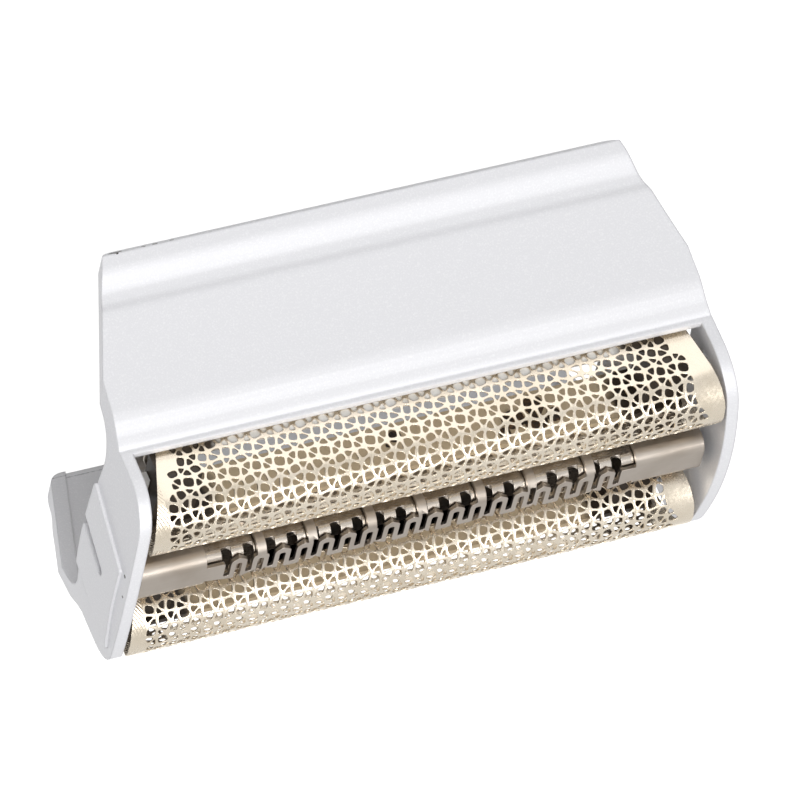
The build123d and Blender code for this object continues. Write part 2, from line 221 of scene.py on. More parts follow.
def select_parts(piece: bpy.types.Object, part: Part, test: Callable[[Any], bool]) -> int:
    """Selects in edit mode the vertices, edges or faces that pass a test.

    Args:
        piece: The object, which goes into edit mode.
        part: What is selected.
        test: Says of one of them whether it is wanted.

    Returns:
        How many are selected.
    """
    activate(piece)
    bpy.ops.object.mode_set(mode="EDIT")
    bpy.ops.mesh.select_mode(type=part.name)
    bpy.ops.mesh.select_all(action="DESELECT")
    mesh = bmesh.from_edit_mesh(piece.data)
    wanted = [item for item in getattr(mesh, part.value) if test(item)]
    for item in wanted:
        item.select = True
    if part is Part.VERT:
        mesh.select_flush(True)
    bmesh.update_edit_mesh(piece.data)
    return len(wanted)


def merged_copy(node: bpy.types.Object, name: str, flat_degrees: float = 1.0) -> bpy.types.Object:
    """Copies a solid into a new object, joins its loose triangles and clears the seams on flats.

    Args:
        node: The solid, which stays as it is.
        name: Name of the copy.
        flat_degrees: Seams with less of a turn than this are cleared.

    Returns:
        The copy.
    """
    piece = bpy.data.objects.new(name, node.data.copy())
    bpy.context.scene.collection.objects.link(piece)
    activate(piece)
    bpy.ops.object.mode_set(mode="EDIT")
    bpy.ops.mesh.select_all(action="SELECT")
    bpy.ops.mesh.remove_doubles(threshold=TOUCH)
    bpy.ops.mesh.dissolve_limited(angle_limit=math.radians(flat_degrees))
    bpy.ops.object.mode_set(mode="OBJECT")
    return piece


def smooth_shade(piece: bpy.types.Object, degrees: float) -> None:
    """Shades an object smooth, apart from edges sharper than an angle."""
    activate(piece)
    bpy.ops.object.shade_smooth_by_angle(angle=math.radians(degrees))


@dataclass(frozen=True)
class Mottle:
    """Soft clouds of a second colour, by a noise of a size in millimetres. They fade in over a span of
    the noise's values, up to their greatest share."""

    size_mm: float
    detail: float
    span: tuple[float, float]
    most: float

    def add(self, tree: Tree, place: Socket, base: str, cloud: str) -> tuple[Socket, Socket]:
        """Adds nodes that mix a colour into another in clouds.

        Args:
            tree: The material's tree.
            place: Object coordinates.
            base: Hex colour between the clouds.
            cloud: Hex colour of the clouds.

        Returns:
            The mixed colour, and the noise.
        """
        noise = add_node(
            tree, "TexNoise", {"Vector": place, "Scale": per_metre(self.size_mm), "Detail": self.detail}
        ).outputs["Fac"]
        start, end = self.span
        share = add_node(tree, "MapRange", {0: noise, 1: start, 2: end, 3: 0.0, 4: self.most})
        mixed = add_node(
            tree, "Mix", {0: share.outputs[0], 6: linear(base), 7: linear(cloud)}, data_type="RGBA"
        )
        return mixed.outputs[2], noise


@dataclass(frozen=True)
class Grain:
    """A fine relief by a noise: its size and height in millimetres, and how strongly it shows."""

    size_mm: float
    height_mm: float
    strength: float
    detail: float = 2.0

    def add(self, tree: Tree, place: Socket, under: Socket | None = None) -> tuple[Socket, Socket]:
        """Adds nodes for the relief.

        Args:
            tree: The material's tree.
            place: Object coordinates, which may be stretched.
            under: The normal that the relief lies on, if it isn't the surface's own.

        Returns:
            The normal with the relief, and the noise.
        """
        noise = add_node(
            tree, "TexNoise", {"Vector": place, "Scale": per_metre(self.size_mm), "Detail": self.detail}
        ).outputs["Fac"]
        inputs: dict[str, Any] = {
            "Strength": self.strength, "Distance": self.height_mm * MM, "Height": noise,
        }
        if under is not None:
            inputs["Normal"] = under
        return add_node(tree, "Bump", inputs).outputs["Normal"], noise


@dataclass(frozen=True)
class Finish:
    """A material, named for what it is and how its surface was made."""

    name: str

    def make(self) -> bpy.types.Material:
        """Builds the material's nodes.

        Returns:
            The material.
        """
        material, tree = new_material(self.name)
        place = add_node(tree, "TexCoord").outputs["Object"]
        shader = add_node(tree, "BsdfPrincipled", self._surface(tree, place))
        add_node(tree, "OutputMaterial", {"Surface": shader.outputs["BSDF"]})
        return material

    def _surface(self, tree: Tree, place: Socket) -> dict[str, Any]:
        """Adds the nodes of this kind of finish.

        Args:
            tree: The material's tree.
            place: Object coordinates.

        Returns:
            The inputs of the surface shader.
        """
        raise NotImplementedError


@dataclass(frozen=True)
class Chip:
    """A small spot where the lacquer is knocked off, in millimetres."""

    x: float
    y: float
    z: float
    radius: float


@dataclass(frozen=True)
class SilverLacquer(Finish):
    """Moulded ABS sprayed with silver lacquer: pale and satin, with fine flakes that sparkle a
    little, a soft orange peel, a broken line of thin paint along the foot, where the mould parted,
    and dark plastic in the chips."""

    name: str = "silver_lacquer_on_abs"
    colour: str = "#E6E6E9"
    flake: str = "#F4F4F6"
    bare: str = "#4A4744"
    seam: str = "#B9B9BC"
    metallic: float = 0.25
    roughness: float = 0.42
    flakes: Mottle = Mottle(size_mm=0.12, detail=1.0, span=(0.5, 0.8), most=0.7)
    peel: Grain = Grain(size_mm=0.22, height_mm=0.006, strength=0.5)
    edge_mm: float = 0.22
    edge_samples: int = 6
    ragged_mm: float = 0.25
    ragged_detail: float = 2.0
    seam_height_mm: float = 0.4
    seam_half_mm: float = 0.05
    seam_span: tuple[float, float] = (0.4, 0.6)
    seam_shares: tuple[float, float] = (0.2, 1.0)
    chips: tuple[Chip, ...] = (
        Chip(17.25, -13.55, 0.3, 0.34),
        Chip(16.9, -13.5, 0.25, 0.26),
        Chip(15.2, -13.5, 0.4, 0.16),
        Chip(14.4, -13.5, 0.4, 0.2),
        Chip(13.25, -13.5, 0.4, 0.16),
        Chip(-15.4, -10.23, 10.92, 0.06),
        Chip(-15.35, -10.17, 11.03, 0.07),
        Chip(-15.34, -10.1, 11.15, 0.07),
        Chip(-15.38, -10.04, 11.26, 0.06),
        Chip(21.3, -2.5, 17.6, 0.14),
        Chip(21.3, -0.7, 17.97, 0.12),
        Chip(21.3, 9.0, 13.95, 0.13),
    )

    def _surface(self, tree: Tree, place: Socket) -> dict[str, Any]:
        """Adds the lacquer's nodes.

        Args:
            tree: The material's tree.
            place: Object coordinates.

        Returns:
            The inputs of the surface shader.
        """
        paint, _ = self.flakes.add(tree, place, self.colour, self.flake)
        ragged = add_node(
            tree, "TexNoise",
            {"Vector": place, "Scale": per_metre(self.ragged_mm), "Detail": self.ragged_detail},
        ).outputs["Fac"]
        lined = self._lined(tree, place, ragged, paint)
        chipped = self._chipped(tree, place, ragged)
        colour = add_node(tree, "Mix", {0: chipped, 6: lined, 7: linear(self.bare)}, data_type="RGBA")
        soft_edge = add_node(tree, "Bevel", {"Radius": self.edge_mm * MM}, samples=self.edge_samples)
        normal, _ = self.peel.add(tree, place, soft_edge.outputs["Normal"])
        return {
            "Base Color": colour.outputs[2], "Metallic": self.metallic,
            "Roughness": self.roughness, "Normal": normal,
        }

    def _lined(self, tree: Tree, place: Socket, ragged: Socket, paint: Socket) -> Socket:
        """Adds nodes for the line of thin paint along the foot.

        Args:
            tree: The material's tree.
            place: Object coordinates.
            ragged: Noise that breaks the line.
            paint: Colour of the full paint.

        Returns:
            The colour with the line.
        """
        height = add_node(tree, "SeparateXYZ", {0: place})
        on_seam = add_node(
            tree, "Math",
            {0: height.outputs[2], 1: self.seam_height_mm * MM, 2: self.seam_half_mm * MM},
            operation="COMPARE",
        )
        start, end = self.seam_span
        least, most = self.seam_shares
        thin = add_node(tree, "MapRange", {0: ragged, 1: start, 2: end, 3: least, 4: most})
        share = add_node(
            tree, "Math", {0: on_seam.outputs[0], 1: thin.outputs[0]}, operation="MULTIPLY"
        )
        return add_node(
            tree, "Mix", {0: share.outputs[0], 6: paint, 7: linear(self.seam)}, data_type="RGBA"
        ).outputs[2]

    def _chipped(self, tree: Tree, place: Socket, ragged: Socket) -> Socket:
        """Adds nodes that give 1 inside the chips and 0 elsewhere.

        Args:
            tree: The material's tree.
            place: Object coordinates.
            ragged: Noise that makes the chips' edges uneven.

        Returns:
            The socket with the answer.
        """
        chipped: Any = 0.0
        for chip in self.chips:
            away = add_node(
                tree, "VectorMath",
                {0: place, 1: (chip.x * MM, chip.y * MM, chip.z * MM)}, operation="DISTANCE",
            )
            rough_edge = add_node(
                tree, "Math", {0: ragged, 1: chip.radius * MM, 2: chip.radius * MM / 2},
                operation="MULTIPLY_ADD",
            )
            inside = add_node(
                tree, "Math", {0: away.outputs["Value"], 1: rough_edge.outputs[0]},
                operation="LESS_THAN",
            )
            chipped = add_node(
                tree, "Math", {0: inside.outputs[0], 1: chipped}, operation="MAXIMUM"
            ).outputs[0]
        return chipped


@dataclass(frozen=True)
class SatinMetal(Finish):
    """A bare metal sheet or wire: its tint, a satin sheen with faint cloudy stains, and fine lines
    or grain from how it was made."""

    colour: str
    stain: str
    roughness: float
    grain: Grain
    grain_stretch: float = 1.0
    stains: Mottle = Mottle(size_mm=3.0, detail=3.0, span=(0.45, 0.75), most=0.6)
    sheen: tuple[float, float] = (0.85, 1.2)
    edge_mm: float = 0.05
    edge_samples: int = 4

    def _surface(self, tree: Tree, place: Socket) -> dict[str, Any]:
        """Adds the metal's nodes.

        Args:
            tree: The material's tree.
            place: Object coordinates.

        Returns:
            The inputs of the surface shader.
        """
        colour, _ = self.stains.add(tree, place, self.colour, self.stain)
        along = add_node(tree, "Mapping", {"Vector": place, "Scale": (1 / self.grain_stretch, 1, 1)})
        normal, grain = self.grain.add(tree, along.outputs[0], self._under(tree, place))
        brightest, dullest = (self.roughness * part for part in self.sheen)
        sheen = add_node(
            tree, "MapRange", {0: grain, 1: NOISE_LOW, 2: NOISE_HIGH, 3: brightest, 4: dullest}
        )
        return {
            "Base Color": colour, "Metallic": 1.0, "Roughness": sheen.outputs[0], "Normal": normal,
        }

    def _under(self, tree: Tree, place: Socket) -> Socket:
        """Adds nodes for the form that the grain lies on: the sheet with its edges softened.

        Args:
            tree: The material's tree.
            place: Object coordinates, for a form that has a pattern; not used by the plain sheet.

        Returns:
            The normal.
        """
        return add_node(
            tree, "Bevel", {"Radius": self.edge_mm * MM}, samples=self.edge_samples
        ).outputs["Normal"]


@dataclass(frozen=True)
class EtchedNickel(SatinMetal):
    """Electroformed nickel sheet: warm and bright, mirror-like but softened by a fine matt skin, with
    faint cloudy stains, and hatched by fine slanting lines on the plain margin at the left end."""

    name: str = "electroformed_nickel_foil"
    colour: str = "#EFE4D2"
    stain: str = "#D9CBB4"
    roughness: float = 0.25
    grain: Grain = Grain(size_mm=0.2, height_mm=0.004, strength=0.4)
    stains: Mottle = Mottle(size_mm=4.0, detail=3.0, span=(0.45, 0.75), most=0.7)
    sheen: tuple[float, float] = (0.8, 1.3)
    edge_mm: float = 0.04
    hatch_from_mm: float = 18.9
    hatch_mm: float = 0.18
    hatch_height_mm: float = 0.05
    hatch_degrees: float = 35.0
    hatch_strength: float = 0.6

    def _under(self, tree: Tree, place: Socket) -> Socket:
        """Adds nodes for the sheet with its edges softened and its margin hatched.

        Args:
            tree: The material's tree.
            place: Object coordinates.

        Returns:
            The normal.
        """
        # The lines are finer than this on the real sheet, and are drawn as coarse as they show.
        turned = add_node(
            tree, "Mapping", {"Vector": place, "Rotation": (0, math.radians(self.hatch_degrees), 0)}
        )
        # At a scale of 1, a wave texture repeats every pi / 10.
        lines = add_node(
            tree, "TexWave",
            {"Vector": turned.outputs[0], "Scale": per_metre(self.hatch_mm) * math.pi / 10},
        )
        along = add_node(tree, "SeparateXYZ", {0: place})
        on_margin = add_node(
            tree, "Math", {0: along.outputs[0], 1: self.hatch_from_mm * MM}, operation="GREATER_THAN"
        )
        hatch = add_node(
            tree, "Math", {0: lines.outputs["Fac"], 1: on_margin.outputs[0]}, operation="MULTIPLY"
        )
        return add_node(
            tree, "Bump",
            {
                "Strength": self.hatch_strength, "Distance": self.hatch_height_mm * MM,
                "Height": hatch.outputs[0], "Normal": super()._under(tree, place),
            },
        ).outputs["Normal"]


@dataclass(frozen=True)
class MouldedPlastic(Finish):
    """Injection-moulded plastic: an even dull colour with a fine spark-eroded grain and a little
    dust that lightens or darkens it in clouds. A stretch near both ends may be darkened by thick dust
    together with painted shade, and what lies further to the rear than a given place may get a painted
    warm shade, which stands for shade lit by warm light reflected from the nickel."""

    colour: str
    dust: str
    roughness: float
    grain: Grain = Grain(size_mm=0.12, height_mm=0.01, strength=0.5)
    clouds: Mottle = Mottle(size_mm=1.2, detail=4.0, span=(0.45, 0.7), most=0.8)
    ior: float = 1.53
    # Colour near both ends: thick dust together with painted shade, for ends that lie in shadow.
    dust_and_shade: str = ""
    dust_and_shade_from_mm: float = 14.6
    dust_and_shade_to_mm: float = 18.7
    dust_and_shade_fade_mm: float = 1.0
    dust_and_shade_wander_mm: float = 2.0
    # Painted warm shade on what lies to the rear, for shade lit by warm light reflected from the
    # nickel.
    painted_warm_shade: str = ""
    painted_warm_shade_from_mm: float = 0.0

    def _surface(self, tree: Tree, place: Socket) -> dict[str, Any]:
        """Adds the plastic's nodes.

        Args:
            tree: The material's tree.
            place: Object coordinates.

        Returns:
            The inputs of the surface shader.
        """
        skin, clouds = self.clouds.add(tree, place, self.colour, self.dust)
        # Painted warm shade towards the rear: shade lit by light reflected from the nickel, not a
        # colour of the plastic.
        if self.painted_warm_shade:
            skin = self._painted_warm_shade_rear(tree, place, skin)
        # Dark ends: dust together with painted shade, for the shadowed ends inside the foil.
        if self.dust_and_shade:
            skin = self._dust_and_shade_ends(tree, place, clouds, skin)
        normal, _ = self.grain.add(tree, place)
        return {"Base Color": skin, "Roughness": self.roughness, "IOR": self.ior, "Normal": normal}

    def _painted_warm_shade_rear(self, tree: Tree, place: Socket, clean: Socket) -> Socket:
        """Adds nodes that give what lies to the rear a painted warm shade, for shade lit by warm light
        reflected from the nickel.

        Args:
            tree: The material's tree.
            place: Object coordinates.
            clean: Colour in front.

        Returns:
            The colour with the painted warm shade.
        """
        across = add_node(tree, "SeparateXYZ", {0: place})
        behind = add_node(
            tree, "Math", {0: across.outputs[1], 1: self.painted_warm_shade_from_mm * MM}, operation="GREATER_THAN"
        )
        return add_node(
            tree, "Mix", {0: behind.outputs[0], 6: clean, 7: linear(self.painted_warm_shade)}, data_type="RGBA"
        ).outputs[2]

    def _dust_and_shade_ends(self, tree: Tree, place: Socket, clouds: Socket, clean: Socket) -> Socket:
        """Adds nodes that darken a stretch near both ends with thick dust together with painted shade.

        Args:
            tree: The material's tree.
            place: Object coordinates.
            clouds: Noise that makes the start of the darkening uneven.
            clean: Colour where the ends are not darkened.

        Returns:
            The colour with the dust and painted shade.
        """
        along = add_node(tree, "SeparateXYZ", {0: place})
        from_middle = add_node(tree, "Math", {0: along.outputs[0]}, operation="ABSOLUTE")
        uneven = add_node(
            tree, "Math",
            {0: clouds, 1: self.dust_and_shade_wander_mm * MM, 2: from_middle.outputs[0]},
            operation="MULTIPLY_ADD",
        )
        start = self.dust_and_shade_from_mm * MM
        begun = add_node(
            tree, "MapRange", {0: uneven.outputs[0], 1: start, 2: start + self.dust_and_shade_fade_mm * MM}
        )
        ended = add_node(
            tree, "Math", {0: from_middle.outputs[0], 1: self.dust_and_shade_to_mm * MM}, operation="LESS_THAN"
        )
        share = add_node(tree, "Math", {0: begun.outputs[0], 1: ended.outputs[0]}, operation="MULTIPLY")
        return add_node(
            tree, "Mix", {0: share.outputs[0], 6: clean, 7: linear(self.dust_and_shade)}, data_type="RGBA"
        ).outputs[2]


@dataclass(frozen=True)
class Swell:
    """A soft rise of the aprons' skin, or a fall if its rise is negative, between two heights, in
    millimetres."""

    start: float
    end: float
    rise: float

    def at(self, height: float) -> float:
        """How far this swell has lifted the skin at a height."""
        share = min(max((height - self.start) / (self.end - self.start), 0.0), 1.0)
        return self.rise * share * share * (3 - 2 * share)


@dataclass
class HousingFrame:
    """The painted frame: two leaning aprons joined by bowed cheeks.

    It is a copy of its solid. The outer skin of both aprons is cut into narrow strips, which sink
    softly above the bead at the foot and roll over towards the lip. They are too narrow to show.
    Sizes are in millimetres.
    """

    node: str = "housing_frame"
    swells: tuple[Swell, ...] = (
        Swell(1.2, 2.9, -0.46),
        Swell(2.6, 4.3, 0.62),
        Swell(10.0, 11.7, -0.36),
        Swell(11.6, 12.8, 0.2),
    )
    strip: float = 0.1
    skin_from: float = 8.9
    facing: float = 0.6
    least_lift: float = 0.001
    seam_degrees: float = 0.05
    edge_degrees: float = 28.0
    finish: SilverLacquer = SilverLacquer()

    def build(self, nodes: dict[str, bpy.types.Object]) -> None:
        """Models the soft relief on a copy of the frame and dresses it.

        Args:
            nodes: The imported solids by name.
        """
        frame = merged_copy(nodes[self.node], "moulded_frame", self.seam_degrees)
        self._cut_strips(frame)
        self._lift_strips(frame)
        self._mark_edges(frame)
        dress(frame, self.finish.make())
        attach(frame, "frame")
        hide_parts(self.node)
        LOG.info("%s with %d faces in %s", frame.name, len(frame.data.polygons), self.finish.name)

    def _on_skin(self, face: bmesh.types.BMFace) -> bool:
        """Says whether a face lies on the outer skin of an apron."""
        place = face.calc_center_median()
        outward = math.copysign(1, place.y) * face.normal.y
        return abs(place.y) > self.skin_from * MM and outward > self.facing

    def _cut_strips(self, frame: bpy.types.Object) -> None:
        """Cuts the skin at even heights, wherever a swell changes it.

        Args:
            frame: The copy of the frame.
        """
        heights: set[float] = set()
        for swell in self.swells:
            count = round((swell.end - swell.start) / self.strip)
            heights.update(round(swell.start + at * self.strip, 2) for at in range(count + 1))
        for height in sorted(heights):
            select_parts(frame, Part.FACE, self._on_skin)
            bpy.ops.mesh.bisect(plane_co=(0, 0, height * MM), plane_no=(0, 0, 1), threshold=TOUCH)

    def _lift_strips(self, frame: bpy.types.Object) -> None:
        """Moves the skin's points in or out by the sum of the swells at their height.

        Args:
            frame: The copy of the frame, cut into strips.
        """
        mesh = bmesh.from_edit_mesh(frame.data)
        rows: dict[tuple[float, float], set[int]] = {}
        for face in filter(self._on_skin, mesh.faces):
            for vert in face.verts:
                row = (math.copysign(1, vert.co.y), round(vert.co.z / MM, 3))
                rows.setdefault(row, set()).add(vert.index)
        for (side, height), members in rows.items():
            lift = sum(swell.at(height) for swell in self.swells)
            if abs(lift) > self.least_lift:
                select_parts(frame, Part.VERT, lambda vert: vert.index in members)
                bpy.ops.transform.translate(value=(0, side * lift * MM, 0))
        bpy.ops.object.mode_set(mode="OBJECT")

    def _mark_edges(self, frame: bpy.types.Object) -> None:
        """Marks the real edges sharp. The skin and the other rounded faces are shaded smooth already.

        Args:
            frame: The copy of the frame, with its relief.
        """
        activate(frame)
        # The normals that came with the solid don't fit the cut faces.
        bpy.ops.mesh.customdata_custom_splitnormals_clear()
        bpy.ops.object.mode_set(mode="EDIT")
        bpy.ops.mesh.select_mode(type="EDGE")
        bpy.ops.mesh.select_all(action="DESELECT")
        bpy.ops.mesh.edges_select_sharp(sharpness=math.radians(self.edge_degrees))
        bpy.ops.mesh.mark_sharp()
        bpy.ops.object.mode_set(mode="OBJECT")


@dataclass
class FoilNet:
    """The two foils: thin nickel sheet etched to a net of webs, arched over and plain at its edges.

    Sizes are in millimetres. The net is drawn flat: a grid whose squares are twisted by turns, so
    that half of them stay square and the others become pairs of triangles, with five webs at each
    joint. A little wander makes it uneven, and the corners of the holes are rounded over a share of
    their sides, in percent. Then the sheet is bent over the crown.
    """

    repeat: float = 3.15
    columns: int = 4
    rows: int = 18
    repeats: int = 14
    twist: float = 15.0
    wander: float = 0.14
    least_wander: float = 0.3
    square_inset: float = 0.105
    triangle_inset: float = 0.045
    corner_share: float = 32.0
    corner_segments: int = 2
    sheet: float = 0.08
    radius: float = 2.6
    left_draw_in: float = 2.2
    right_draw_in: float = 1.2
    left_margin: float = 1.05
    right_margin: float = 1.5
    weld: float = 0.01
    smooth_degrees: float = 40.0
    seed: int = 7
    finish: EtchedNickel = EtchedNickel()

    @property
    def pitch(self) -> float:
        """Side of one square of the grid."""
        return self.repeat / self.columns

    @property
    def half_net(self) -> float:
        """Half of the net's width, measured round the arch."""
        return self.rows * self.pitch / 2

    def build(self) -> None:
        """Models one foil, copies it for the other row, and fits both to their solids."""
        material = self.finish.make()
        flat = self._flat_sheet()
        for side in Side:
            node = f"{side.value}_foil"
            low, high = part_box(node)
            foil = flat.copy()
            foil.data = flat.data.copy()
            foil.name = f"{side.value}_foil_net"
            bpy.context.scene.collection.objects.link(foil)
            self._arch_over(foil, low, high)
            dress(foil, material)
            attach(foil, f"{side.value}_cartridge")
            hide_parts(node)
            LOG.info("%s with %d faces", foil.name, len(foil.data.polygons))
        bpy.data.objects.remove(flat)

    def _flat_sheet(self) -> bpy.types.Object:
        """Draws the whole sheet flat in the XZ plane: the pierced net and its plain feet.

        Returns:
            The sheet.
        """
        sheet = self._one_repeat()
        apply_modifier(
            sheet, "ARRAY", count=self.repeats, use_relative_offset=False,
            use_constant_offset=True, constant_offset_displace=(self.repeat * MM, 0, 0),
            use_merge_vertices=True, merge_threshold=self.weld * MM,
        )
        sheet.location.x = -(self.repeats - 1) / 2 * self.repeat * MM
        bpy.ops.object.transform_apply(location=True, rotation=False, scale=False)
        edge_row = (self.half_net - self.pitch / 2) * MM
        foot = self._arc_to_foot()
        for sign in (1, -1):
            select_parts(
                sheet, Part.EDGE,
                lambda edge: edge.is_boundary
                and all(vert.co.z * sign > edge_row for vert in edge.verts),
            )
            bpy.ops.mesh.extrude_region_move()
            bpy.ops.transform.resize(value=(1, 1, 0), center_override=(0, 0, sign * foot))
        low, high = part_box("front_foil")
        holes = 0
        for corners, inset in ((4, self.square_inset), (3, self.triangle_inset)):
            holes += select_parts(
                sheet, Part.FACE,
                lambda face: len(face.verts) == corners
                and self._is_pierced(face.calc_center_median(), low, high),
            )
            bpy.ops.mesh.inset(thickness=inset * MM, use_individual=True, use_even_offset=True)
            bpy.ops.mesh.bevel(
                affect="VERTICES", offset_type="PERCENT", offset_pct=self.corner_share,
                segments=self.corner_segments,
            )
            rim = corners * (self.corner_segments + 1)
            select_parts(sheet, Part.FACE, lambda face: len(face.verts) == rim)
            bpy.ops.mesh.delete(type="FACE")
        bpy.ops.object.mode_set(mode="OBJECT")
        LOG.info("foil sheet with %d holes", holes)
        return sheet

    def _drop(self, arc: float) -> float:
        """How far a point of the sheet lies below the crown, in metres.

        Args:
            arc: Distance of the point from the crown line, measured round the arch.

        Returns:
            The drop.
        """
        radius = self.radius * MM
        turn = min(abs(arc) / radius, math.pi / 2)
        return radius * (1 - math.cos(turn)) + abs(arc) - turn * radius

    def _draw_in(self, x: float) -> float:
        """How far the foot is drawn in at the end on this side of the middle, in metres."""
        return (self.left_draw_in if x > 0 else self.right_draw_in) * MM

    def _is_pierced(self, place: Vector, low: Vector, high: Vector) -> bool:
        """Says whether the cell at a place of the flat sheet is a hole, and not plain margin.

        Args:
            place: Middle of the cell.
            low: Lowest corner of the arched foil.
            high: Highest corner of the arched foil.

        Returns:
            True for a hole.
        """
        drawn = self._draw_in(place.x) * self._drop(place.z) / (high.z - low.z)
        margin = self.left_margin if place.x > 0 else self.right_margin
        in_net = abs(place.z) < self.half_net * MM
        return in_net and abs(place.x) < high.x - drawn - margin * MM

    def _arc_to_foot(self) -> float:
        """Length in metres from the crown line to the foot, measured round the arch."""
        low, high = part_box("front_foil")
        flank = high.z - low.z - self.radius * MM
        return self.radius * MM * math.pi / 2 + flank

    def _one_repeat(self) -> bpy.types.Object:
        """Draws one repeat of the net's centre lines as squares and triangles.

        Returns:
            The repeat, flat in the XZ plane.
        """
        deselect_all()
        bpy.ops.mesh.primitive_grid_add(
            x_subdivisions=self.columns, y_subdivisions=self.rows, size=1, rotation=(math.pi / 2, 0, 0)
        )
        piece = bpy.context.active_object
        piece.name = "foil_sheet"
        piece.scale = (self.repeat * MM, 2 * self.half_net * MM, 1)
        bpy.ops.object.transform_apply(location=True, rotation=True, scale=True)
        pitch = self.pitch * MM

        def column(x: float) -> float:
            """Number of the column at a distance along X."""
            return (x + self.repeat * MM / 2) / pitch

        def row(z: float) -> float:
            """Number of the row at a distance along Z."""
            return (z + self.half_net * MM) / pitch

        draws = random.Random(self.seed)
        for across in range(1, self.rows):
            for along in range(self.columns):
                twins = (0, self.columns) if along == 0 else (along,)
                angle = draws.uniform(0, 2 * math.pi)
                reach = self.wander * MM * draws.uniform(self.least_wander, 1.0)
                select_parts(
                    piece, Part.VERT,
                    lambda vert: round(row(vert.co.z)) == across and round(column(vert.co.x)) in twins,
                )
                bpy.ops.transform.translate(value=(reach * math.cos(angle), 0, reach * math.sin(angle)))
        shift = pitch / 2 * math.tan(math.radians(self.twist))
        for odd in (0, 1):
            way = shift * (1 - 2 * odd)
            select_parts(piece, Part.VERT, lambda vert: round(row(vert.co.z)) % 2 == odd)
            bpy.ops.transform.translate(value=(way, 0, 0))
        for odd in (0, 1):
            way = shift * (1 - 2 * odd)
            select_parts(piece, Part.VERT, lambda vert: round(column(vert.co.x)) % 2 == odd)
            bpy.ops.transform.translate(value=(0, 0, -way))
        select_parts(
            piece, Part.FACE,
            lambda face: (
                math.floor(row(face.calc_center_median().z))
                + math.floor(column(face.calc_center_median().x))
            ) % 2 == 1,
        )
        bpy.ops.mesh.quads_convert_to_tris(quad_method="SHORTEST_DIAGONAL", ngon_method="BEAUTY")
        bpy.ops.object.mode_set(mode="OBJECT")
        return piece

    def _arch_over(self, foil: bpy.types.Object, low: Vector, high: Vector) -> None:
        """Bends a flat sheet over the crown, trims its ends and gives it its thickness.

        Args:
            foil: The flat sheet, which is changed.
            low: Lowest corner of the solid that it stands for.
            high: Highest corner of that solid.
        """
        foot = self._arc_to_foot()
        crown = self.radius * MM * math.pi / 2
        apply_modifier(
            foil, "SIMPLE_DEFORM", deform_method="BEND", deform_axis="X", angle=math.pi,
            limits=((foot - crown) / (2 * foot), (foot + crown) / (2 * foot)),
        )
        foil.rotation_euler = (-math.pi / 2, 0, 0)
        foil.location = (0, (low.y + high.y) / 2, high.z)
        activate(foil)
        bpy.ops.object.transform_apply(location=True, rotation=True, scale=True)
        bpy.ops.object.mode_set(mode="EDIT")
        for end in End:
            bpy.ops.mesh.select_all(action="SELECT")
            outward = Vector(
                (end.value * (high.z - low.z), 0, -self._draw_in(end.value))
            ).normalized()
            bpy.ops.mesh.bisect(
                plane_co=(end.value * high.x, 0, high.z), plane_no=outward, clear_outer=True,
                threshold=TOUCH,
            )
        bpy.ops.object.mode_set(mode="OBJECT")
        apply_modifier(foil, "SOLIDIFY", thickness=self.sheet * MM, offset=-1.0, use_even_offset=True)
        smooth_shade(foil, self.smooth_degrees)


@dataclass
class FoilHolders:
    """The moulded holders inside the foils, darkened near their ends by shaving dust together with
    painted shade, and with a painted warm shade on the wall at the rear of each, which stands for shade
    lit by warm light reflected from the nickel. The painted shade at the rear starts a number of wall
    thicknesses in front of the rear."""

    painted_shade_walls: float = 1.5
    finish: MouldedPlastic = MouldedPlastic(
        name="dusty_moulded_acetal", colour="#EFEEEC", dust="#D9D3C9", roughness=0.55,
        # Dark dust together with painted shade at the ends, and a painted warm shade on the rear wall,
        # for shade lit by warm light from the nickel.
        dust_and_shade="#33291F", painted_warm_shade="#E0CCAC",
    )

    def build(self, nodes: dict[str, bpy.types.Object]) -> None:
        """Dresses both holders.

        Args:
            nodes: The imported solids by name.
        """
        for side in Side:
            node = f"{side.value}_foil_holder"
            # The painted warm shade of the rear wall starts here.
            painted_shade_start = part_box(node)[1].y / MM - self.painted_shade_walls * HOLDER_WALL
            finish = replace(
                self.finish, name=f"{side.value}_{self.finish.name}", painted_warm_shade_from_mm=painted_shade_start
            )
            dress(nodes[node], finish.make())
            LOG.info("%s in %s", node, finish.name)


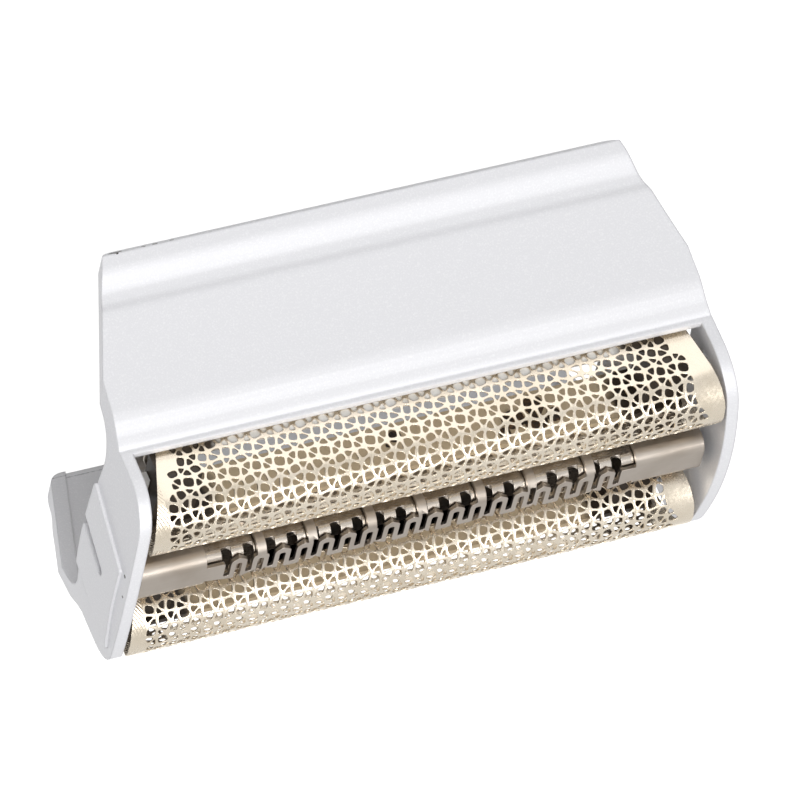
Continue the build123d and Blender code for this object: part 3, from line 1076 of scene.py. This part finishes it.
@dataclass
class Trimmer:
    """The slotted comb with its blade, driver and carrier.

    Comb and blade are copies of their solids. The long edges of their chamfers are bevelled, so that
    the sheet looks bent over a round tool, and so are the corners of fingers and slots. Sizes are in
    millimetres, and turns of edges in radians.
    """

    comb_bends: tuple[float, ...] = (0.36, 0.24)
    blade_bends: tuple[float, ...] = (0.24,)
    bend_segments: int = 4
    bend_depth: float = 0.5
    corner_reach: float = 0.14
    corner_segments: int = 3
    corner_turn: float = 0.4
    slot_reach: float = 0.3
    slot_segments: int = 4
    slot_turn: float = -1.0
    bend_turn: float = math.pi / 4
    bend_slack: float = 0.05
    smooth_degrees: float = 30.0
    comb: SatinMetal = SatinMetal(
        name="ground_stainless_comb", colour="#B9B0A6", stain="#A3978A", roughness=0.34,
        grain=Grain(size_mm=0.12, height_mm=0.004, strength=0.4), grain_stretch=12.0,
    )
    blade: SatinMetal = SatinMetal(
        name="polished_stainless_blade", colour="#C8C0B6", stain="#A89C8E", roughness=0.24,
        grain=Grain(size_mm=0.15, height_mm=0.003, strength=0.4), grain_stretch=8.0,
    )
    inner: MouldedPlastic = MouldedPlastic(
        name="moulded_dark_acetal", colour="#3B342C", dust="#6E5A44", roughness=0.5,
    )

    def build(self, nodes: dict[str, bpy.types.Object]) -> None:
        """Rounds comb and blade and dresses all of the trimmer.

        Args:
            nodes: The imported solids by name.
        """
        comb = self._rounded(nodes["trimmer_comb"], "bent_comb", self.comb_bends)
        self._round_fingers(comb)
        dress(comb, self.comb.make())
        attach(comb, "trimmer")
        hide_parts("trimmer_comb")
        steel = self.blade.make()
        blade = self._rounded(nodes["trimmer_blade"], "bent_blade", self.blade_bends)
        self._round_slots(blade)
        dress(blade, steel)
        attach(blade, "blade")
        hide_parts("trimmer_blade")
        dress(nodes["driver_rivets"], steel)
        inner = self.inner.make()
        for name in ("trimmer_carrier", "blade_driver"):
            dress(nodes[name], inner)
        LOG.info("trimmer in %s, %s and %s", self.comb.name, self.blade.name, self.inner.name)

    def _rounded(
        self, node: bpy.types.Object, name: str, reaches: tuple[float, ...]
    ) -> bpy.types.Object:
        """Copies a bent sheet and rounds its bends.

        Args:
            node: The solid with chamfered bends.
            name: Name of the copy.
            reaches: How far the rounding reaches from each edge of a chamfer, outside and then
                inside, in millimetres.

        Returns:
            The copy.
        """
        piece = merged_copy(node, name)
        for turn, reach in zip((self.bend_turn, -self.bend_turn), reaches):
            self._bevel(
                piece, "bends", lambda edge: self._on_bend(edge, turn), reach, self.bend_segments
            )
        smooth_shade(piece, self.smooth_degrees)
        return piece

    @staticmethod
    def _bevel(
        piece: bpy.types.Object,
        what: str,
        test: Callable[[bmesh.types.BMEdge], bool],
        reach: float,
        segments: int,
    ) -> None:
        """Rounds the edges that pass a test.

        Args:
            piece: The object, which is changed.
            what: What the edges belong to, for the log.
            test: Says of an edge whether it is rounded.
            reach: How far the rounding reaches from the edge, in millimetres.
            segments: Number of faces across the rounding.
        """
        count = select_parts(piece, Part.EDGE, test)
        bpy.ops.mesh.bevel(offset=reach * MM, segments=segments, affect="EDGES", clamp_overlap=False)
        bpy.ops.object.mode_set(mode="OBJECT")
        LOG.info("%s: %d edges of its %s rounded", piece.name, count, what)

    def _round_fingers(self, comb: bpy.types.Object) -> None:
        """Rounds the corners of the comb's fingers and slots, as etching leaves them.

        Args:
            comb: The comb with its bends.
        """
        top = max(vert.co.z for vert in comb.data.vertices)

        def on_finger(edge: bmesh.types.BMEdge) -> bool:
            """Says whether an edge stands upright at a corner of a finger or slot."""
            along = (edge.verts[0].co - edge.verts[1].co).normalized()
            upright = abs(along.z) > PARALLEL and edge.verts[0].co.z > top - self.bend_depth * MM
            if not upright or len(edge.link_faces) != 2:
                return False
            return edge.calc_face_angle() > self.corner_turn

        self._bevel(comb, "fingers", on_finger, self.corner_reach, self.corner_segments)
        smooth_shade(comb, self.smooth_degrees)

    def _round_slots(self, blade: bpy.types.Object) -> None:
        """Rounds the floors of the blade's slots, as a grinding wheel leaves them.

        Args:
            blade: The blade with its bends.
        """

        def on_floor(edge: bmesh.types.BMEdge) -> bool:
            """Says whether an edge runs across the blade in the corner of a slot."""
            along = (edge.verts[0].co - edge.verts[1].co).normalized()
            if abs(along.y) < PARALLEL or len(edge.link_faces) != 2:
                return False
            return edge.calc_face_angle_signed() < self.slot_turn

        self._bevel(blade, "slots", on_floor, self.slot_reach, self.slot_segments)
        smooth_shade(blade, self.smooth_degrees)

    def _on_bend(self, edge: bmesh.types.BMEdge, turn: float) -> bool:
        """Says whether an edge is a long edge of a chamfer.

        Args:
            edge: The edge.
            turn: How far the sheet turns at the wanted edges, less than zero inside the channel.

        Returns:
            True if it is.
        """
        if len(edge.link_faces) != 2:
            return False
        along = (edge.verts[0].co - edge.verts[1].co).normalized()
        off = abs(edge.calc_face_angle_signed() - turn)
        return abs(along.x) > PARALLEL and off < self.bend_slack


@dataclass
class Suspension:
    """The end bridges and the coil springs on them. Sizes are in millimetres."""

    wire_radius: float = 0.15
    wire_sides: int = 12
    turns: int = 3
    steps: int = 28
    travel: float = 1.0
    smooth_degrees: float = 50.0
    bridge: MouldedPlastic = MouldedPlastic(
        name="moulded_grey_abs", colour="#D9D9DA", dust="#B9AE9F", roughness=0.5,
    )
    wire: SatinMetal = SatinMetal(
        name="drawn_spring_wire", colour="#BDB7AE", stain="#978C7E", roughness=0.3,
        grain=Grain(size_mm=0.1, height_mm=0.002, strength=0.4), edge_mm=0.03,
    )

    def build(self, nodes: dict[str, bpy.types.Object]) -> None:
        """Dresses the bridges and winds the springs.

        Args:
            nodes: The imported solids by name.
        """
        bridge = self.bridge.make()
        wire = self.wire.make()
        for end in End:
            name = end.name.lower()
            dress(nodes[f"{name}_end_bridge"], bridge)
            for owner in ("front", "rear", "trimmer"):
                self._spring(f"{owner}_spring_{name}", wire)
        LOG.info("bridges in %s, springs in %s", self.bridge.name, self.wire.name)

    def _spring(self, node: str, material: bpy.types.Material) -> None:
        """Winds one spring of round wire.

        Args:
            node: The stepped solid that it stands for.
            material: The wire's finish.
        """
        low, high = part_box(node)
        middle = (low + high) / 2
        wire = self.wire_radius * MM
        reach = (high.x - low.x) / 2 - wire
        deselect_all()
        bpy.ops.mesh.primitive_circle_add(
            vertices=self.wire_sides, radius=wire, location=(reach, 0, 0), rotation=(math.pi / 2, 0, 0)
        )
        spring = bpy.context.active_object
        spring.name = f"{node}_coil"
        bpy.ops.object.transform_apply(location=True, rotation=True, scale=True)
        length = high.z - low.z
        rise = (length - 2 * wire) / self.turns
        apply_modifier(
            spring, "SCREW", axis="Z", angle=2 * math.pi, iterations=self.turns, screw_offset=rise,
            steps=self.steps, render_steps=self.steps,
        )
        bpy.ops.object.mode_set(mode="EDIT")
        bpy.ops.mesh.select_all(action="SELECT")
        bpy.ops.mesh.remove_doubles(threshold=TOUCH)
        bpy.ops.mesh.fill_holes(sides=0)
        bpy.ops.mesh.select_all(action="SELECT")
        bpy.ops.mesh.normals_make_consistent(inside=False)
        bpy.ops.object.mode_set(mode="OBJECT")
        spring.location = (middle.x, middle.y, low.z + wire)
        bpy.ops.object.transform_apply(location=True, rotation=False, scale=False)
        smooth_shade(spring, self.smooth_degrees)
        dress(spring, material)
        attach(spring, "frame")
        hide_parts(node)
        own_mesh(spring)


@dataclass(frozen=True)
class Speck:
    """A crumb of shaving dirt: its place along X and its height Z, and its half sizes along X, up the
    wall and out of it, in millimetres."""

    x: float
    z: float
    half_length: float
    half_height: float
    half_depth: float


@dataclass
class TrappedDirt:
    """Crumbs of skin and hair dust that cling to the wall of the front holder, inside the foil.

    Each is a ball that is made ragged, then softened and set against the wall.
    """

    specks: tuple[Speck, ...] = (
        Speck(0.9, 12.8, 0.45, 0.42, 0.25),
        Speck(1.5, 13.3, 0.2, 0.16, 0.12),
        Speck(-7.2, 13.6, 0.8, 0.7, 0.25),
        Speck(-8.6, 14.2, 0.8, 0.6, 0.2),
        Speck(-8.9, 12.9, 0.7, 0.8, 0.25),
        Speck(-10.0, 13.9, 0.55, 0.5, 0.2),
        Speck(-6.3, 14.4, 0.4, 0.4, 0.16),
    )
    ball_levels: int = 3
    raggedness: float = 0.16
    raggedness_outward: float = 0.5
    softening: float = 0.4
    smooth_degrees: float = 50.0
    finish: MouldedPlastic = MouldedPlastic(
        name="packed_shaving_dust", colour="#2E241B", dust="#6B4E31", roughness=0.85,
        grain=Grain(size_mm=0.08, height_mm=0.03, strength=0.5),
        clouds=Mottle(size_mm=0.3, detail=4.0, span=(0.45, 0.7), most=0.8),
    )

    def build(self) -> None:
        """Models each crumb on the wall and joins them into one piece."""
        crumbs = [self._crumb(number, speck) for number, speck in enumerate(self.specks)]
        deselect_all()
        for crumb in crumbs:
            crumb.select_set(True)
        bpy.context.view_layer.objects.active = crumbs[0]
        bpy.ops.object.join()
        dirt = crumbs[0]
        dirt.name = "trapped_dirt"
        smooth_shade(dirt, self.smooth_degrees)
        dress(dirt, self.finish.make())
        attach(dirt, "front_cartridge")
        LOG.info("%s with %d crumbs", dirt.name, len(self.specks))

    def _crumb(self, number: int, speck: Speck) -> bpy.types.Object:
        """Shapes one crumb and sets it against the wall of the front holder.

        Args:
            number: Its number, which seeds its ragged shape.
            speck: Its place and size.

        Returns:
            The crumb.
        """
        wall_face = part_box("front_foil_holder")[1].y - HOLDER_WALL * MM
        deselect_all()
        bpy.ops.mesh.primitive_ico_sphere_add(subdivisions=self.ball_levels, radius=1)
        crumb = bpy.context.active_object
        bpy.ops.object.mode_set(mode="EDIT")
        bpy.ops.mesh.select_all(action="SELECT")
        bpy.ops.transform.vertex_random(
            offset=self.raggedness, seed=number, normal=self.raggedness_outward
        )
        bpy.ops.mesh.vertices_smooth(factor=self.softening)
        bpy.ops.object.mode_set(mode="OBJECT")
        crumb.scale = (speck.half_length * MM, speck.half_depth * MM, speck.half_height * MM)
        crumb.location = (speck.x * MM, wall_face - speck.half_depth * MM / 2, speck.z * MM)
        bpy.ops.object.transform_apply(location=True, rotation=True, scale=True)
        return crumb


@dataclass
class Studio:
    """A pale floor, a soft light in front and the camera of the photograph."""

    floor_half_side: float = 2.0
    floor_colour: str = "#F4F4F4"
    floor_share: float = 0.35
    floor_glow: float = 1.0
    sky_strength: float = 0.42
    key_place: tuple[float, float, float] = (0.11, -0.36, 0.61)
    key_side: float = 0.5
    key_power: float = 4.8
    aim_mm: tuple[float, float, float] = (-4.609, 6.355, 3.969)
    distance_mm: float = 760.0
    azimuth: float = 21.825
    elevation: float = 29.41
    roll: float = 155.82
    lens_mm: float = 517.09
    sensor_mm: float = 36.0
    nearest: float = 0.01
    farthest: float = 20.0

    def build(self) -> None:
        """Sets up floor, world, light, camera and view."""
        self._floor()
        self._world()
        self._key_light()
        self._camera()
        bpy.context.scene.view_settings.view_transform = "Standard"

    @staticmethod
    def _seen(tree: Tree) -> Socket:
        """Adds nodes that give 1 where the camera, a reflection or clear glass looks.

        Args:
            tree: The tree that gets the nodes.

        Returns:
            The socket with the answer.
        """
        path = add_node(tree, "LightPath")
        mirrored = add_node(
            tree, "Math",
            {0: path.outputs["Is Camera Ray"], 1: path.outputs["Is Glossy Ray"]}, operation="MAXIMUM",
        )
        through = add_node(
            tree, "Math",
            {0: mirrored.outputs[0], 1: path.outputs["Is Transmission Ray"]}, operation="MAXIMUM",
        )
        return through.outputs[0]

    def _floor(self) -> None:
        """Makes the floor, which glows for the camera and still takes a shadow."""
        deselect_all()
        bpy.ops.mesh.primitive_plane_add(size=2 * self.floor_half_side)
        floor = bpy.context.active_object
        floor.name = "floor"
        material, tree = new_material("matt_white_paper")
        red, green, blue, alpha = linear(self.floor_colour)
        share = self.floor_share
        paper = add_node(
            tree, "BsdfDiffuse", {"Color": (red * share, green * share, blue * share, alpha)}
        )
        strength = add_node(
            tree, "Math", {0: self._seen(tree), 1: self.floor_glow}, operation="MULTIPLY"
        )
        glow = add_node(tree, "Emission", {"Strength": strength.outputs[0]})
        both = add_node(tree, "AddShader", {0: paper.outputs[0], 1: glow.outputs[0]})
        add_node(tree, "OutputMaterial", {"Surface": both.outputs[0]})
        dress(floor, material)

    def _world(self) -> None:
        """Makes a white surround that lights the object only softly."""
        world = bpy.data.worlds.new("white_surround")
        bpy.context.scene.world = world
        world.use_nodes = True
        tree = world.node_tree
        tree.nodes.clear()
        strength = add_node(tree, "MapRange", {0: self._seen(tree), 3: self.sky_strength, 4: 1.0})
        sky = add_node(tree, "Background", {"Strength": strength.outputs[0]})
        add_node(tree, "OutputWorld", {"Surface": sky.outputs[0]})

    def _key_light(self) -> None:
        """Puts one large soft light in front, turned to the object."""
        lamp = bpy.data.lights.new("soft_front_light", "AREA")
        lamp.size = self.key_side
        lamp.energy = self.key_power
        light = bpy.data.objects.new("soft_front_light", lamp)
        light.location = self.key_place
        light.rotation_euler = (-Vector(self.key_place)).to_track_quat("-Z", "Y").to_euler()
        bpy.context.scene.collection.objects.link(light)

    def _camera(self) -> None:
        """Sets the camera where the photograph was taken from, rolled as the photograph is."""
        azimuth, elevation, roll = (
            math.radians(angle) for angle in (self.azimuth, self.elevation, self.roll)
        )
        back = Vector((
            math.sin(azimuth) * math.cos(elevation),
            -math.cos(azimuth) * math.cos(elevation),
            math.sin(elevation),
        ))
        level = Vector((0, 0, 1)).cross(back).normalized()
        upright = back.cross(level)
        right = level * math.cos(roll) + upright * math.sin(roll)
        up = back.cross(right)
        lens = bpy.data.cameras.new("photo_camera")
        lens.lens = self.lens_mm
        lens.sensor_width = self.sensor_mm
        lens.clip_start = self.nearest
        lens.clip_end = self.farthest
        camera = bpy.data.objects.new("photo_camera", lens)
        place = (Vector(self.aim_mm) + back * self.distance_mm) * MM
        turn = Matrix((right, up, back)).transposed().to_4x4()
        camera.matrix_world = Matrix.Translation(place) @ turn
        bpy.context.scene.collection.objects.link(camera)
        bpy.context.scene.camera = camera


def main() -> None:
    """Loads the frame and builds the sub-assemblies in order."""
    logging.basicConfig(level=logging.INFO, format="%(name)s: %(message)s")
    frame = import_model()
    nodes = frame["nodes"]
    HousingFrame().build(nodes)
    FoilNet().build()
    FoilHolders().build(nodes)
    Trimmer().build(nodes)
    Suspension().build(nodes)
    TrappedDirt().build()
    Studio().build()
    deselect_all()


if __name__ == "__main__":
    main()
